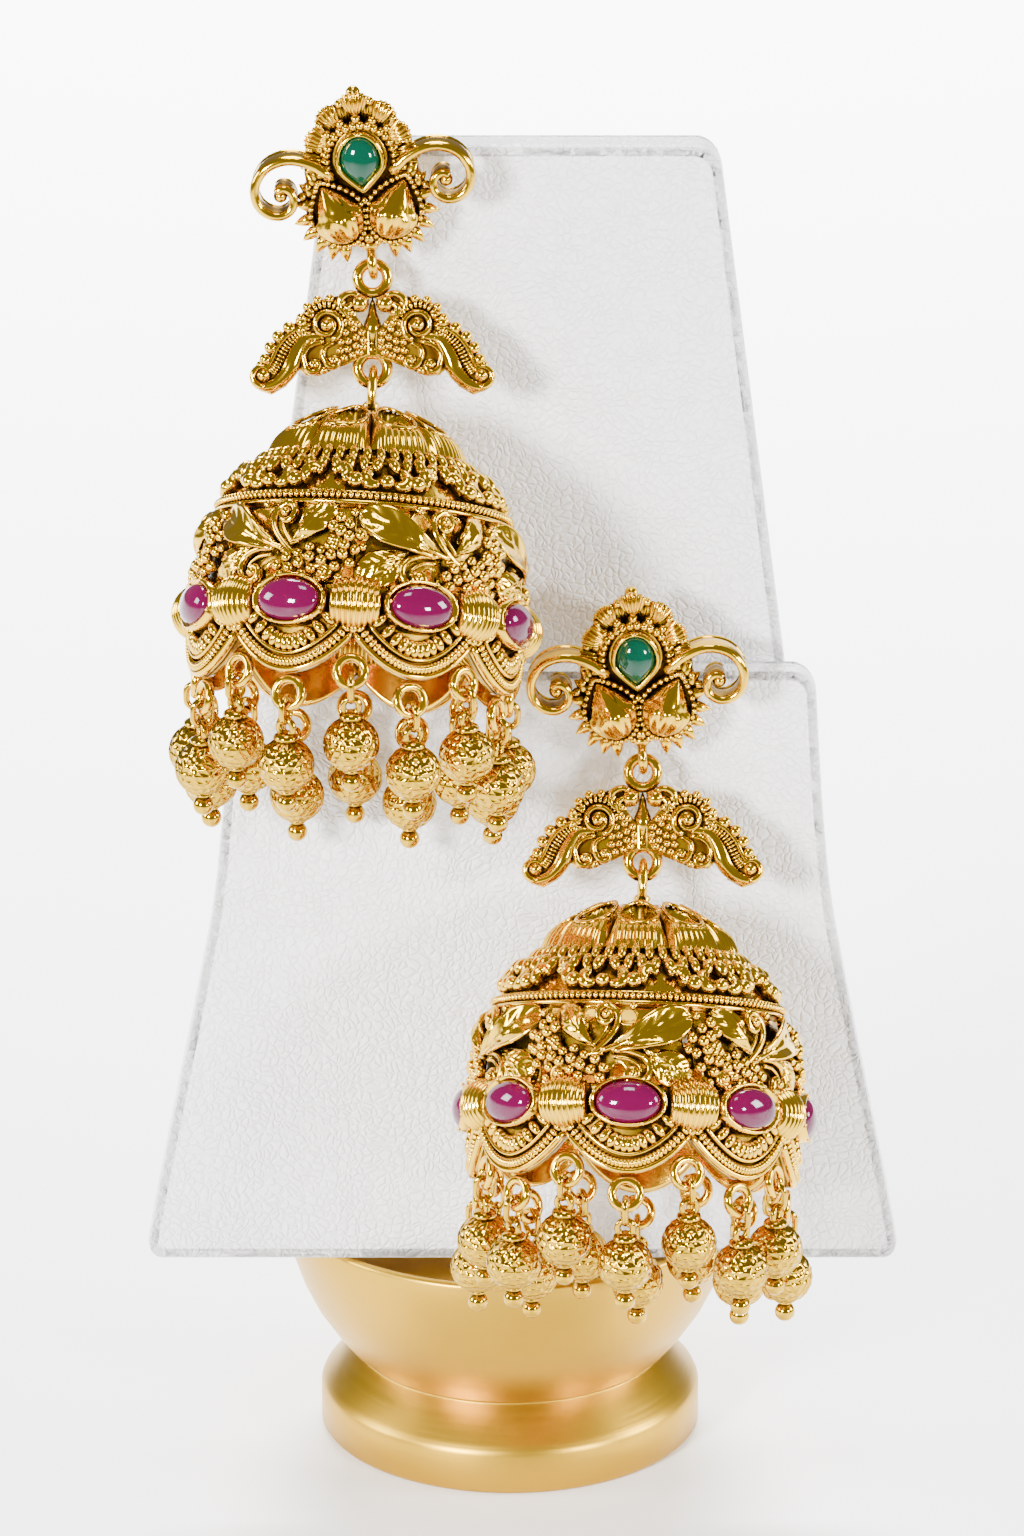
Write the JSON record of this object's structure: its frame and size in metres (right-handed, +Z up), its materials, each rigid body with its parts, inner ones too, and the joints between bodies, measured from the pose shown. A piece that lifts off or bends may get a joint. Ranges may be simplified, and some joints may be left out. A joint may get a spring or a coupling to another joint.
{
  "type": "pair of jhumka earrings on a display stand",
  "caption": "Hanging jhumka earrings with emerald studs, crescent links and pierced ruby-set bells fringed with ball drops, on a stepped leather stand with a turned brass foot.",
  "frame": {"origin": "centre of the brass foot's underside", "axes": "+X to the right seen from the front, +Y away from the viewer, +Z up"},
  "size_m": [0.0832, 0.086, 0.1626],
  "materials": {
    "brass": "brushed satin",
    "upper_leather": "grained",
    "lower_leather": "grained",
    "stud_gold": "antique gold",
    "crescent_gold": "antique gold",
    "bell_gold": "antique gold",
    "drop_gold": "hammered gold",
    "ruby": "polished",
    "emerald": "polished"
  },
  "bodies": {
    "stand": {"brass_base": "brass", "upper_pad": "upper_leather", "lower_pad": "lower_leather", "left_stud": "stud_gold", "left_emerald": "emerald", "right_stud": "stud_gold", "right_emerald": "emerald"},
    "left_crescent": {"left_crescent": "crescent_gold"},
    "left_bell": {"left_bell": "bell_gold", "left_ruby_1": "ruby", "left_ruby_2": "ruby", "left_ruby_3": "ruby", "left_ruby_4": "ruby", "left_ruby_5": "ruby", "left_ruby_6": "ruby", "left_ruby_7": "ruby", "left_ruby_8": "ruby", "left_drop_1": "drop_gold", "left_drop_2": "drop_gold", "left_drop_3": "drop_gold", "left_drop_4": "drop_gold", "left_drop_5": "drop_gold", "left_drop_6": "drop_gold", "left_drop_7": "drop_gold", "left_drop_8": "drop_gold", "left_drop_9": "drop_gold", "left_drop_10": "drop_gold", "left_drop_11": "drop_gold", "left_drop_12": "drop_gold", "left_drop_13": "drop_gold", "left_drop_14": "drop_gold", "left_drop_15": "drop_gold", "left_drop_16": "drop_gold"},
    "right_crescent": {"right_crescent": "crescent_gold"},
    "right_bell": {"right_bell": "bell_gold", "right_ruby_1": "ruby", "right_ruby_2": "ruby", "right_ruby_3": "ruby", "right_ruby_4": "ruby", "right_ruby_5": "ruby", "right_ruby_6": "ruby", "right_ruby_7": "ruby", "right_ruby_8": "ruby", "right_drop_1": "drop_gold", "right_drop_2": "drop_gold", "right_drop_3": "drop_gold", "right_drop_4": "drop_gold", "right_drop_5": "drop_gold", "right_drop_6": "drop_gold", "right_drop_7": "drop_gold", "right_drop_8": "drop_gold", "right_drop_9": "drop_gold", "right_drop_10": "drop_gold", "right_drop_11": "drop_gold", "right_drop_12": "drop_gold", "right_drop_13": "drop_gold", "right_drop_14": "drop_gold", "right_drop_15": "drop_gold", "right_drop_16": "drop_gold"}
  },
  "joints": [
    {"name": "left_crescent_swing", "type": "hinge", "parent": "stand", "child": "left_crescent", "pos_m": [-0.0147, -0.01519, 0.14275], "axis": [-1, 0, 0], "range_deg": [0, 25]},
    {"name": "left_bell_swing", "type": "hinge", "parent": "left_crescent", "child": "left_bell", "pos_m": [-0.0147, -0.01981, 0.13071], "axis": [-1, 0, 0], "range_deg": [0, 30]},
    {"name": "right_crescent_swing", "type": "hinge", "parent": "stand", "child": "right_crescent", "pos_m": [0.0144, -0.02089, 0.08832], "axis": [-1, 0, 0], "range_deg": [0, 25]},
    {"name": "right_bell_swing", "type": "hinge", "parent": "right_crescent", "child": "right_bell", "pos_m": [0.0144, -0.02552, 0.07627], "axis": [-1, 0, 0], "range_deg": [0, 30]}
  ]
}
